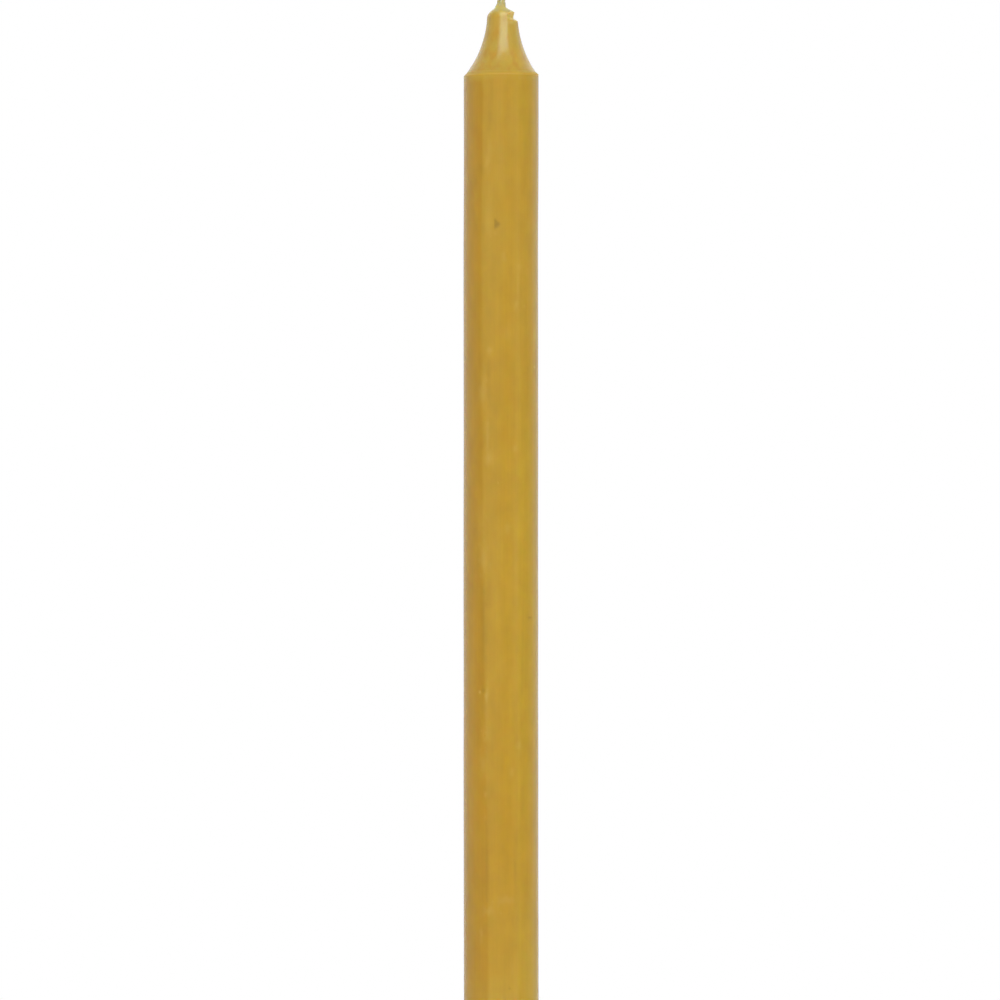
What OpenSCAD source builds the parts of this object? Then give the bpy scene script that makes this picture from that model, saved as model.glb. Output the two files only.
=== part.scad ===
// Taper candle for a round holder socket.
// A straight wax column ends in a milled head: a hollow neck curve runs from a sharp shoulder
// up to a small rounded nib, and the nib's rim has one chip broken out of it.
// One plaited wick runs through the whole column and stands free above it.
// Millimetres, +Z up, origin at the centre of the cut base. The photographed side faces -Y.

/* [Wax column] */
// Diameter of the straight shaft, which is the size that a holder's socket takes
shaft_d = 22; // [14:0.5:40]
// Height of the wax, from the cut base to where it ends on the wick
wax_h = 300; // [60:5:450]
// Bevel on the edge of the cut base
base_bevel = 0.6; // [0.2:0.1:1.5]

/* [Milled head] */
// Radius of the hollow curve between the shoulder and the nib
neck_curve_r = 31.2; // [18:0.2:60]
// Lean of the neck from upright where the nib's rim starts, in degrees
neck_top_lean = 3.5; // [0:0.5:8]
// Width of the narrow land left on top of the shoulder
shoulder_land = 0.3; // [0.1:0.05:1.5]
// Diameter of the nib where its rim starts
nib_d = 9; // [7.4:0.1:12]
// Radius that rounds the nib's rim
rim_r = 2.5; // [1:0.1:3.5]
// Lean of the crown from upright, in degrees
crown_lean = 46; // [30:1:65]
// Radius of the hollow fillet of wax that climbs the wick
fillet_r = 1.2; // [0.4:0.1:3]
// Width of the wax edge that is left around the wick on top of the fillet
fillet_lip = 0.15; // [0.1:0.05:0.5]

/* [Chip in the rim] */
// Direction of the deepest part of the chip, counted from +X towards +Y, in degrees
chip_direction = 0; // [-180:5:180]
// How far the chip goes into the nib
chip_depth = 1.3; // [0.4:0.1:1.6]
// Share of the rim that the chip takes, as an angle in degrees
chip_span = 142; // [120:2:170]
// Height of the upright part of the broken face, above the start of the rim
chip_face_h = 0.55; // [0.2:0.05:1.2]
// Lean of the broken face outwards, above its upright part, in degrees
chip_lip_lean = 19; // [0:1:35]
// Slope of the broken floor, down and outwards from level, in degrees
chip_floor_slope = 43; // [20:1:55]

/* [Wick] */
// Width of the plaited wick, and the diameter of its waxed run inside the column
wick_d = 2.4; // [1.6:0.1:3]
// Length of wick that stands above the wax
wick_free = 10; // [4:0.5:20]
// Clearance between the wick and the wax around it
wick_gap = 0.05; // [0.02:0.01:0.1]
// Length in which one strand of the plait crosses over and comes back
plait_pitch = 4.6; // [3:0.2:8]
// Thickness of one strand of the plait
strand_d = 1.2; // [0.9:0.05:1.4]
// How far a strand steps to the front and the back as it crosses
strand_step = 0.3; // [0.1:0.05:0.4]

/* [Hidden] */

$fn = 96;

// Colours of the honey-yellow wax and the paler waxed wick
wax_colour = [0.74, 0.59, 0.22];
wick_colour = [0.80, 0.75, 0.55];

// Steps in each arc of the outline
neck_steps = 24;
rim_steps = 8;
fillet_steps = 6;
// Length by which a cutter runs past the solid that it cuts
overrun = 1;

shaft_r = shaft_d / 2;
nib_r = nib_d / 2;
wick_r = wick_d / 2;
bore_r = wick_r + wick_gap;

// The head is worked out from the wick downwards: fillet, crown, rim, neck, shoulder.
fillet_foot_r = bore_r + fillet_lip + fillet_r * (1 - cos(crown_lean));
fillet_foot_z = wax_h - fillet_r * sin(crown_lean);
rim_top_r = nib_r - rim_r * (cos(neck_top_lean) - cos(crown_lean));
rim_top_z = fillet_foot_z - (rim_top_r - fillet_foot_r) / tan(crown_lean);
rim_z = rim_top_z - rim_r * (sin(crown_lean) - sin(neck_top_lean));
neck_centre_r = nib_r + neck_curve_r * cos(neck_top_lean);
neck_centre_z = rim_z + neck_curve_r * sin(neck_top_lean);
shoulder_r = shaft_r - shoulder_land;
shoulder_lean = acos((neck_centre_r - shoulder_r) / neck_curve_r);
shoulder_z = neck_centre_z - neck_curve_r * sin(shoulder_lean);

// The broken face is part of a round wall that stands off the candle's axis, so that it is
// deepest in the middle and runs out into the rim at both ends of the chip.
chip_wall_x = nib_r - chip_depth;
chip_end_x = nib_r * cos(chip_span / 2);
chip_axis_off = (nib_r * nib_r - chip_wall_x * chip_wall_x) / (2 * (chip_wall_x - chip_end_x));
chip_wall_r = chip_wall_x + chip_axis_off;
chip_top_z = rim_top_z + overrun;
chip_reach = chip_depth + overrun;

// The plait: three strands that weave in a flat figure of eight around the wick's axis.
strand_count = 3;
strand_r = strand_d / 2;
strand_swing = wick_r - strand_r;
plait_root = 0.5;
plait_root_share = 0.85;
plait_core_r = 0.55 * strand_r;
plait_rings = 46;
plait_sides = 28;

// Points along an arc, from one angle to another
function arc(centre, r, from, to, steps) =
    [for (i = [0:steps])
        let (a = from + (to - from) * i / steps)
        [centre[0] + r * cos(a), centre[1] + r * sin(a)]];

// Half section of the wax, up the outside from the axis at the base
function wax_outline() = concat(
    [[0, 0], [shaft_r - base_bevel, 0], [shaft_r, base_bevel], [shaft_r, shoulder_z]],
    arc([neck_centre_r, neck_centre_z], neck_curve_r,
        180 + shoulder_lean, 180 + neck_top_lean, neck_steps),
    arc([nib_r - rim_r * cos(neck_top_lean), rim_z - rim_r * sin(neck_top_lean)], rim_r,
        neck_top_lean, crown_lean, rim_steps),
    arc([bore_r + fillet_lip + fillet_r, wax_h], fillet_r,
        180 + crown_lean, 180, fillet_steps),
    [[0, wax_h]]);

// Centre of one strand at a height above the wax
function strand_centre(strand, height) =
    let (turn = 360 * (height / plait_pitch + strand / strand_count))
    [strand_swing * sin(turn), strand_step * sin(2 * turn)];

// Distance from the wick's axis to the far side of one strand, in one direction
function strand_reach(strand, height, direction) =
    let (
        centre = strand_centre(strand, height),
        along = centre[0] * cos(direction) + centre[1] * sin(direction),
        across = centre[1] * cos(direction) - centre[0] * sin(direction)
    )
    abs(across) < strand_r ? along + sqrt(strand_r * strand_r - across * across) : 0;

// Radius of the whole plait in one direction
function plait_radius(height, direction) =
    max(plait_core_r, max([for (s = [0:strand_count - 1]) strand_reach(s, height, direction)]));

// The plait is drawn in where it starts, so that it leaves the round run inside its outline.
function plait_share(height) =
    height < plait_root
        ? plait_root_share + (1 - plait_root_share) * max(0, height) / plait_root
        : 1;

function plait_ring(height) =
    [for (i = [0:plait_sides - 1])
        let (
            direction = 360 * i / plait_sides,
            r = plait_share(height) * plait_radius(height, direction)
        )
        [r * cos(direction), r * sin(direction), wax_h + height]];

module wax_blank() {
    rotate_extrude() polygon(wax_outline());
}

module wick_bore() {
    translate([0, 0, -overrun]) cylinder(r = bore_r, h = wax_h + 2 * overrun);
}

module rim_chip() {
    face_top = rim_z + chip_face_h;
    lip_out = (chip_top_z - face_top) * tan(chip_lip_lean);
    floor_drop = chip_reach * tan(chip_floor_slope);
    rotate([0, 0, chip_direction])
        translate([-chip_axis_off, 0, 0])
            rotate_extrude()
                polygon([
                    [chip_wall_r, rim_z],
                    [chip_wall_r + chip_reach, rim_z - floor_drop],
                    [chip_wall_r + chip_reach, chip_top_z],
                    [chip_wall_r + lip_out, chip_top_z],
                    [chip_wall_r, face_top]
                ]);
}

module wax_body() {
    color(wax_colour)
        difference() {
            wax_blank();
            wick_bore();
            rim_chip();
        }
}

module plait_tip() {
    rings = [for (k = [0:plait_rings])
        plait_ring(-plait_root + (wick_free + plait_root) * k / plait_rings)];
    points = [for (ring = rings) each ring];
    last = plait_rings * plait_sides;
    bottom = [for (i = [0:plait_sides - 1]) i];
    top = [for (i = [plait_sides - 1:-1:0]) last + i];
    sides = [for (k = [0:plait_rings - 1], i = [0:plait_sides - 1])
        let (
            a = k * plait_sides + i,
            b = k * plait_sides + (i + 1) % plait_sides,
            c = b + plait_sides,
            d = a + plait_sides
        )
        each [[a, c, b], [a, d, c]]];
    polyhedron(points = points, faces = concat([bottom], [top], sides));
}

module wick() {
    color(wick_colour)
        union() {
            cylinder(r = wick_r, h = wax_h);
            plait_tip();
        }
}

wax_body();
wick();
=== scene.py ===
"""A honey-yellow taper candle: a drawn wax shaft, a milled head with a chipped nib, a plaited wick.

The photographed side faces -Y and +Z points up. Lengths are in metres.
"""

import logging
import math
from dataclasses import dataclass, field
from enum import Enum
from functools import lru_cache
from typing import Any, Mapping, Optional, Sequence, Union

import bmesh
import bpy
from mathutils import Matrix, Vector, noise


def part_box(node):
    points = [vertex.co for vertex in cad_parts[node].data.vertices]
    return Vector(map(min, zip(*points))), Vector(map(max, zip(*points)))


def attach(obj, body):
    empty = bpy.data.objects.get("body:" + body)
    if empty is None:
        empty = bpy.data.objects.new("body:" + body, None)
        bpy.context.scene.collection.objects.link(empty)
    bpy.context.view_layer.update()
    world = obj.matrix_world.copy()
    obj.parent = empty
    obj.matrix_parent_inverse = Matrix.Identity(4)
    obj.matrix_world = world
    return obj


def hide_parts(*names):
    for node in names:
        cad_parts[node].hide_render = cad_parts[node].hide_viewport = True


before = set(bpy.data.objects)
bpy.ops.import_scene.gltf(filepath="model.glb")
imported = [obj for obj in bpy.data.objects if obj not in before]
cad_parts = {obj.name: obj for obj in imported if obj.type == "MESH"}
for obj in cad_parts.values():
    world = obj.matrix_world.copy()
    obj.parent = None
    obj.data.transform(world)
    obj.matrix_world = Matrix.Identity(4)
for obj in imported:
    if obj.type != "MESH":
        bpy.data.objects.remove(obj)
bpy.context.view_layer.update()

LOG = logging.getLogger("taper_candle")

MM = 0.001
ROOT_BODY = "root"
SHARP_ANGLE = math.radians(50.0)

Colour = tuple[float, float, float]
# A place in a half section, as distance from the axis and height, or a pair of place and value
Pair = tuple[float, float]
# Where a window opens, is fully open, starts to close and is closed, in rising order
Window = tuple[float, float, float, float]


def smooth(low: float, high: float, value: float) -> float:
    """Soft step from 0 at low to 1 at high."""
    share = min(1.0, max(0.0, (value - low) / (high - low)))
    return share * share * (3.0 - 2.0 * share)


def bell(distance: float, width: float) -> float:
    """Rounded bump that is 1 at no distance and fades out over about twice the width."""
    return math.exp(-((distance / width) ** 2))


def window(stops: Window, value: float) -> float:
    """Share from 0 to 1 that is eased in at the first two stops and out at the last two."""
    return smooth(stops[0], stops[1], value) * smooth(stops[3], stops[2], value)


def between(stations: Sequence[Pair], place: float) -> float:
    """Reads a value off a short list of stations, eased from one to the next.

    Args:
        stations: Pairs of place and value, in rising order of place.
        place: Where to read.

    Returns:
        The eased value, held at the ends.
    """
    if place <= stations[0][0]:
        return stations[0][1]
    for (low, before), (high, after) in zip(stations, stations[1:]):
        if place <= high:
            return before + (after - before) * smooth(low, high, place)
    return stations[-1][1]


def arc(centre: Pair, radius: float, start: float, end: float, steps: int) -> list[Pair]:
    """Points along an arc in the half section.

    Args:
        centre: Distance from the axis and height of the arc's centre.
        radius: Radius of the arc.
        start: First angle, in radians from level outwards.
        end: Last angle.
        steps: Number of equal steps.

    Returns:
        Pairs of distance from the axis and height.
    """
    angles = [start + (end - start) * i / steps for i in range(steps + 1)]
    return [(centre[0] + radius * math.cos(a), centre[1] + radius * math.sin(a)) for a in angles]


def stretch(start: Pair, end: Pair, spacing: float) -> list[Pair]:
    """Evenly spaced points on a straight run, without its two ends.

    Args:
        start: First end, as distance from the axis and height.
        end: Second end.
        spacing: Largest distance between neighbours.

    Returns:
        The points between the ends.
    """
    steps = max(1, math.ceil(math.dist(start, end) / spacing))
    return [
        (start[0] + (end[0] - start[0]) * i / steps, start[1] + (end[1] - start[1]) * i / steps)
        for i in range(1, steps)
    ]


class Field:
    """A shader value that takes part in plain arithmetic."""

    def __init__(self, bench: "Bench", socket: bpy.types.NodeSocket) -> None:
        """Wraps one output socket of a bench's node tree."""
        self.bench = bench
        self.socket = socket

    def _maths(self, operation: str, first: "Value", second: "Value") -> "Field":
        """Adds one Math node and returns its result."""
        return self.bench.node("ShaderNodeMath", {"operation": operation}, {0: first, 1: second})

    def __add__(self, other: "Value") -> "Field":
        """Sum."""
        return self._maths("ADD", self, other)

    __radd__ = __add__

    def __sub__(self, other: "Value") -> "Field":
        """Difference."""
        return self._maths("SUBTRACT", self, other)

    def __rsub__(self, other: "Value") -> "Field":
        """Difference, with this value taken away."""
        return self._maths("SUBTRACT", other, self)

    def __mul__(self, other: "Value") -> "Field":
        """Product."""
        return self._maths("MULTIPLY", self, other)

    __rmul__ = __mul__

    def __truediv__(self, other: "Value") -> "Field":
        """Quotient."""
        return self._maths("DIVIDE", self, other)

    def higher(self, other: "Value") -> "Field":
        """The larger of two values."""
        return self._maths("MAXIMUM", self, other)

    def eased(self, low: float, high: float) -> "Field":
        """Soft step from 0 at low to 1 at high; low may be the larger one."""
        settings = {"interpolation_type": "SMOOTHSTEP"}
        limits = {"From Min": low, "From Max": high}
        return self.bench.node("ShaderNodeMapRange", settings, {"Value": self, **limits})

    def within(self, stops: Window) -> "Field":
        """Share from 0 to 1 that is eased in at the first two stops and out at the last two."""
        return self.eased(stops[0], stops[1]) * self.eased(stops[3], stops[2])


Value = Union[Field, float, int, Sequence[float]]


class Bench:
    """Builds the nodes of one material or world."""

    def __init__(self, owner: Union[bpy.types.Material, bpy.types.World]) -> None:
        """Empties the owner's node tree and keeps hold of it."""
        owner.use_nodes = True
        self.tree = owner.node_tree
        self.tree.nodes.clear()

    def node(
        self,
        kind: str,
        settings: Optional[Mapping[str, Any]] = None,
        inputs: Optional[Mapping[Union[str, int], Value]] = None,
        output: Union[str, int] = 0,
    ) -> Field:
        """Adds any node.

        Args:
            kind: Blender's name for the node's type.
            settings: Properties of the node, set before its sockets.
            inputs: Socket name or number to a constant or a Field.
            output: Name or number of the socket that the result reads.

        Returns:
            The chosen output, ready for arithmetic.
        """
        made = self.tree.nodes.new(kind)
        for name, value in (settings or {}).items():
            setattr(made, name, value)
        for name, value in (inputs or {}).items():
            if isinstance(value, Field):
                self.tree.links.new(value.socket, made.inputs[name])
            else:
                made.inputs[name].default_value = value
        return Field(self, made.outputs[output])

    @classmethod
    def material(cls, name: str) -> tuple[bpy.types.Material, "Bench", Field]:
        """A new material, the bench for its nodes and the object's own coordinates, in metres."""
        made = bpy.data.materials.new(name)
        bench = cls(made)
        return made, bench, bench.node("ShaderNodeTexCoord", output="Object")

    def end(self, kind: str, surface: Field) -> None:
        """Adds the tree's output node and feeds it a surface or a background."""
        self.tree.links.new(surface.socket, self.tree.nodes.new(kind).inputs["Surface"])

    def part(self, vector: Field, axis: str) -> Field:
        """One component of a vector, by its letter."""
        return self.node("ShaderNodeSeparateXYZ", inputs={0: vector}, output=axis)

    def attribute(self, name: str) -> Field:
        """A number that the mesh carries at each of its points."""
        return self.node("ShaderNodeAttribute", {"attribute_name": name}, output="Fac")

    def grain(
        self, vector: Field, size: tuple[float, float, float], detail: float = 2.0, shift: float = 0.0
    ) -> Field:
        """Noise with features of a given size along each axis.

        Args:
            vector: Coordinates in metres.
            size: Size of the features along X, Y and Z, in metres.
            detail: Number of finer layers.
            shift: Moves the pattern, so that two grains of one size differ.

        Returns:
            Values about 0.5.
        """
        scale = tuple(1.0 / s for s in size)
        mapping = {"Vector": vector, "Scale": scale, "Location": (shift, shift, shift)}
        pattern = {"Vector": self.node("ShaderNodeMapping", inputs=mapping), "Scale": 1.0, "Detail": detail}
        return self.node("ShaderNodeTexNoise", inputs=pattern, output="Fac")

    def ramp(self, value: Field, stops: Sequence[Pair]) -> Field:
        """Reads a grey level off straight runs between stops.

        Args:
            value: Where to read, from 0 to 1.
            stops: Pairs of place and level, in rising order of place.

        Returns:
            The level.
        """
        result = self.node("ShaderNodeValToRGB", inputs={"Fac": value})
        ramp = result.socket.node.color_ramp
        while len(ramp.elements) < len(stops):
            ramp.elements.new(1.0)
        for element, (place, level) in zip(ramp.elements, stops):
            element.position = place
            element.color = (level, level, level, 1.0)
        return result

    def translucent(self, relief: Field, depth: float, inputs: Mapping[str, Value]) -> Field:
        """A surface that light scatters in, with a fine relief.

        Args:
            relief: Height of the relief, as a share of its depth.
            depth: Depth of the relief, in metres.
            inputs: The surface's other sockets.

        Returns:
            The surface.
        """
        bump = {"Height": relief, "Strength": 1.0, "Distance": depth}
        sockets = {"Normal": self.node("ShaderNodeBump", inputs=bump), **inputs}
        return self.node("ShaderNodeBsdfPrincipled", {"subsurface_method": "RANDOM_WALK"}, sockets)

    def blend(self, share: Value, first: Union[Field, Colour], second: Union[Field, Colour]) -> Field:
        """Mixes two colours by a share from 0 to 1."""
        pair = [value if isinstance(value, Field) else (*value, 1.0) for value in (first, second)]
        settings = {"data_type": "RGBA", "clamp_factor": True}
        return self.node("ShaderNodeMix", settings, {0: share, 6: pair[0], 7: pair[1]}, output=2)

    def shade(self, colour: Field, factor: Value) -> Field:
        """Multiplies a colour by a number."""
        settings = {"data_type": "RGBA", "blend_type": "MULTIPLY"}
        return self.node("ShaderNodeMix", settings, {0: 1.0, 6: colour, 7: factor}, output=2)


@dataclass(frozen=True)
class WaxFinish:
    """Drawn and milled honey-yellow wax, slightly translucent, with drag streaks and scuffs, and with painted
    shade, highlights and reflection in its colour.
    """

    name: str = "honey_wax"
    warm: Colour = (0.469, 0.276, 0.0135)
    cool: Colour = (0.461, 0.280, 0.0160)
    # Deeper wax, also used for the painted shade on the shaft's left side.
    deep_and_shade: Colour = (0.450, 0.247, 0.0060)
    # Paler wax, also used for the painted highlight beside the front-right drag line.
    paler_and_highlight: Colour = (0.505, 0.323, 0.033)
    # Greener wax, also used for the painted shade on the shoulder's edge.
    green_and_shade: Colour = (0.470, 0.292, 0.0115)
    neck: Colour = (0.480, 0.322, 0.047)
    neck_dark: Colour = (0.466, 0.276, 0.036)
    crown: Colour = (0.510, 0.420, 0.110)
    film: Colour = (0.412, 0.362, 0.162)
    # Broken wax, made paler than the neck: partly painted light that brightens the shade in the chip's
    # recess.
    broken: Colour = (0.620, 0.420, 0.050)
    # Pale colour for the painted highlights on the rim and along the break's edge, and for the bruise spot.
    highlight_and_bruise: Colour = (0.665, 0.580, 0.220)
    cut_base: Colour = (0.520, 0.340, 0.050)
    # Pale tint for scuffs, also used for the painted reflection on the neck and the painted light on the
    # shoulder.
    pale: Colour = (0.640, 0.438, 0.088)
    # Dark tint for stains and nicks, also used for the painted shade in dents.
    dark: Colour = (0.200, 0.105, 0.006)
    sheen: Colour = (0.76, 1.00, 0.88)
    ior: float = 1.52
    gloss: float = 0.17
    neck_gloss: float = 0.19
    relief_depth: float = 0.008 * MM
    glow_depth: float = 2.0 * MM
    glow_spread: Colour = (1.0, 0.62, 0.18)

    def _colour(
        self, bench: Bench, place: Field, crown_z: float, milled: Field, shoulder_shade: Field, sawn: Field
    ) -> Field:
        """Base colour of the wax.

        Args:
            bench: The material's nodes.
            place: Object coordinates.
            crown_z: Height where the paler crown starts.
            milled: 1 on the milled head, which starts in a ragged border.
            shoulder_shade: 1 on the edge of the shoulder, fading out below and above it.
            sawn: 1 on the cut base.

        Returns:
            The colour.
        """
        height = bench.part(place, "Z")
        broad = bench.grain(place, (9 * MM, 9 * MM, 30 * MM), 2.0, shift=1.0)
        mottle = bench.grain(place, (3.4 * MM, 3.4 * MM, 6.5 * MM), 3.0, shift=3.0)
        streak = bench.grain(place, (0.55 * MM, 0.55 * MM, 28 * MM), 2.0)
        smear = bench.grain(place, (2.2 * MM, 2.2 * MM, 5.5 * MM), 3.0, shift=11.0)
        marks_and_painted_light, tone, cast = (bench.attribute(name) for name in ("marks_and_painted_light", "tone", "cast"))
        shaft = bench.blend(0.5 + 3.0 * (broad - 0.5), self.warm, self.cool)
        # Paler tone, including the painted highlight beside the front-right drag line.
        shaft = bench.blend(tone, shaft, self.paler_and_highlight)
        shaft = bench.blend(cast, shaft, self.green_and_shade)
        neck = bench.blend(smear.eased(0.42, 0.66) - cast, self.neck, self.neck_dark)
        colour = bench.blend(milled, shaft, neck)
        for share, tint in (
            # Deeper tone, including the painted shade on the shaft's left side.
            (0 - tone, self.deep_and_shade),
            (height.eased(crown_z - 1.5 * MM, crown_z + 1.2 * MM), self.crown),
            (sawn, self.cut_base),
            # Broken wax, painted paler to brighten the shade in the recess.
            (bench.attribute("broken"), self.broken),
            # Painted highlights on the rim and along the break's edge, with the pale bruise spot.
            (bench.attribute("highlight_and_bruise") * 0.8, self.highlight_and_bruise),
            (bench.attribute("film"), self.film),
        ):
            colour = bench.blend(share, colour, tint)
        colour = bench.shade(colour, 1 + 0.20 * (mottle - 0.5) + 0.12 * (streak - 0.5) + 0.10 * (broad - 0.5))
        # Pale and dark marks: stains, nicks and scuffs, with painted shade in dents and painted reflection
        # and light on the neck and shoulder; last, painted shade on the shoulder's edge.
        for share, tint in ((marks_and_painted_light, self.pale), (0 - marks_and_painted_light, self.dark), (0.7 * shoulder_shade, self.green_and_shade)):
            colour = bench.blend(share, colour, tint)
        return colour

    def build(self, shoulder_z: float, crown_z: float) -> bpy.types.Material:
        """Makes the material.

        Args:
            shoulder_z: Height where the milled neck starts.
            crown_z: Height where the paler crown starts.

        Returns:
            The finished material.
        """
        material, bench, place = Bench.material(self.name)
        height = bench.part(place, "Z")
        above = height - shoulder_z
        ragged = bench.grain(place, (1.1 * MM, 1.1 * MM, 3.0 * MM), 3.0, shift=13.0)
        # The neck's paler colour reaches about 2 mm down the shaft in a ragged border; below the shoulder it
        # is partly painted light that evens out the shade step there.
        milled = (above + 2.4 * MM * (ragged - 0.5)).eased(-2.2 * MM, 0.3 * MM)
        edge = above.within((-0.45 * MM, -0.1 * MM, 0.6 * MM, 1.2 * MM))
        # Painted shade: on the shoulder's edge the colour is deepened towards the greener wax to offset the
        # light that the upturned corner catches.
        shoulder_shade = above.within((-2.6 * MM, -0.4 * MM, 0.1 * MM, 1.2 * MM))
        sawn = height.eased(0.4 * MM, 0.1 * MM)
        worn = bench.grain(place, (2.5 * MM, 2.5 * MM, 9 * MM), 3.0, shift=6.0)
        hairline = bench.grain(place, (0.20 * MM, 0.20 * MM, 16 * MM), 2.0, shift=4.0)
        pores = bench.grain(place, (0.45 * MM, 0.45 * MM, 0.8 * MM), 2.0, shift=7.0)
        lathe = bench.grain(place, (14 * MM, 14 * MM, 0.30 * MM), 2.0, shift=9.0)
        saw = bench.grain(place, (9 * MM, 0.35 * MM, 9 * MM), 2.0, shift=5.0)
        broken = bench.attribute("broken")
        rubbed = bench.attribute("marks_and_painted_light").higher(0)
        rough = self.gloss + (self.neck_gloss - self.gloss) * milled + 0.14 * (worn - 0.5)
        rough = rough + 0.15 * broken + 0.22 * sawn + 0.20 * rubbed + 0.30 * edge
        relief = hairline * 0.5 * (1 - milled) + pores * 0.5 + lathe * 0.35 * milled + saw * 2.5 * sawn
        relief = relief + bench.grain(place, (0.25 * MM,) * 3, 2.0) * broken * 3.0
        sockets = {
            "Base Color": self._colour(bench, place, crown_z, milled, shoulder_shade, sawn),
            "Roughness": rough,
            "IOR": self.ior,
            "Specular Tint": (*self.sheen, 1.0),
            "Subsurface Weight": 1.0,
            "Subsurface Radius": self.glow_spread,
            "Subsurface Scale": self.glow_depth,
        }
        bench.end("ShaderNodeOutputMaterial", bench.translucent(relief, self.relief_depth, sockets))
        return material


@dataclass(frozen=True)
class WickFinish:
    """Plaited cotton that is soaked and coated in wax."""

    name: str = "waxed_cotton"
    cotton: Colour = (0.660, 0.570, 0.300)
    soaked: Colour = (0.540, 0.430, 0.150)
    gloss: float = 0.42
    ior: float = 1.44
    fibre_depth: float = 0.03 * MM
    glow: float = 0.6
    glow_depth: float = 0.5 * MM
    glow_spread: Colour = (1.0, 0.8, 0.4)

    def build(self) -> bpy.types.Material:
        """Makes the material."""
        material, bench, place = Bench.material(self.name)
        fibre = bench.grain(place, (0.09 * MM, 0.09 * MM, 0.5 * MM), 2.0)
        patch = bench.grain(place, (1.2 * MM, 1.2 * MM, 2.0 * MM), 2.0, shift=2.0)
        colour = bench.blend(patch.eased(0.40, 0.62), self.cotton, self.soaked)
        # Painted shade: the grooves between the strands are darkened with the soaked colour.
        colour = bench.blend(bench.attribute("groove_shade") * 0.55, colour, self.soaked)
        sockets = {
            "Base Color": bench.shade(colour, 0.88 + 0.24 * fibre),
            "Roughness": self.gloss + 0.2 * (patch - 0.5),
            "IOR": self.ior,
            "Subsurface Weight": self.glow,
            "Subsurface Radius": self.glow_spread,
            "Subsurface Scale": self.glow_depth,
        }
        bench.end("ShaderNodeOutputMaterial", bench.translucent(fibre, self.fibre_depth, sockets))
        return material


@dataclass(frozen=True)
class FloorFinish:
    """Pale floor that keeps the shadow round the candle and is plain white further out."""

    name: str = "pale_floor"
    tone: Colour = (0.86, 0.86, 0.85)
    fade_start: float = 50 * MM
    fade_end: float = 130 * MM
    back_start: float = 40 * MM
    back_end: float = 85 * MM

    def build(self) -> bpy.types.Material:
        """Makes the material."""
        material, bench, place = Bench.material(self.name)
        distance = bench.node("ShaderNodeVectorMath", {"operation": "LENGTH"}, {0: place}, output="Value")
        round_fade = distance.eased(self.fade_start, self.fade_end)
        back_fade = bench.part(place, "Y").eased(self.back_start, self.back_end)
        seen = bench.node("ShaderNodeLightPath", output="Is Camera Ray")
        diffuse = bench.node("ShaderNodeBsdfDiffuse", inputs={"Color": (*self.tone, 1.0)})
        white = bench.node("ShaderNodeEmission", inputs={"Strength": 1.0})
        share = seen * round_fade.higher(back_fade)
        mixed = bench.node("ShaderNodeMixShader", inputs={0: share, 1: diffuse, 2: white})
        bench.end("ShaderNodeOutputMaterial", mixed)
        return material


# Radius on which the marks' widths are laid out, in millimetres
SHAFT_R_MM = 11.0


class Mark(Enum):
    """Kinds of small damage to the wax, each with its depth and its tint at full strength.

    The tint is below 0 for dark marks and above 0 for pale ones; a dent's dark tint is painted shade, and
    some pale marks are painted reflection and painted light. A depth below 0 stands proud.
    """

    # A dent's dark tint is painted shade.
    DENT_WITH_PAINTED_SHADE = (0.05 * MM, -0.55)
    SCUFF_AND_SHEEN = (-0.010 * MM, 0.30)
    STAIN = (0.0, -0.30)
    NICK = (0.05 * MM, -0.30)

    def __init__(self, depth: float, tint: float) -> None:
        """Keeps the depth and the tint of the kind."""
        self.depth = depth
        self.tint = tint


@dataclass(frozen=True)
class Blemish:
    """One mark on the wax: height and bearing of its middle, half width, half length, strength.

    The bearing is the angle to the right of the front, in degrees. The rest are in millimetres.
    """

    kind: Mark
    height: float
    bearing: float
    width: float
    length: float
    strength: float = 1.0

    def share(self, bearing: float, height: float) -> float:
        """How strongly the mark acts at a bearing in degrees and a height in metres, from 0 to 1."""
        rise = (height / MM - self.height) / self.length
        turn = (bearing - self.bearing + 180.0) % 360.0 - 180.0
        across = math.radians(turn) * SHAFT_R_MM / self.width
        if abs(across) > 2.5:
            return 0.0
        # A dent is steep on its left and comes to a point on its right.
        if self.kind is Mark.DENT_WITH_PAINTED_SHADE:
            rise *= 1.0 + 1.6 * max(0.0, across + 0.3)
            across *= 1.0 if across > -0.5 else 2.0
        ragged = 0.9 * noise.noise(Vector((bearing * 0.16, height / (1.5 * MM), self.height)))
        ragged += 0.5 * noise.noise(Vector((bearing * 0.40, height / (0.6 * MM), self.height)))
        spread = (across * across + rise * rise) * (1.0 + ragged)
        power = 1.5 if self.kind is Mark.DENT_WITH_PAINTED_SHADE else 1.0
        return self.strength * math.exp(-1.2 * spread**power)


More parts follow.
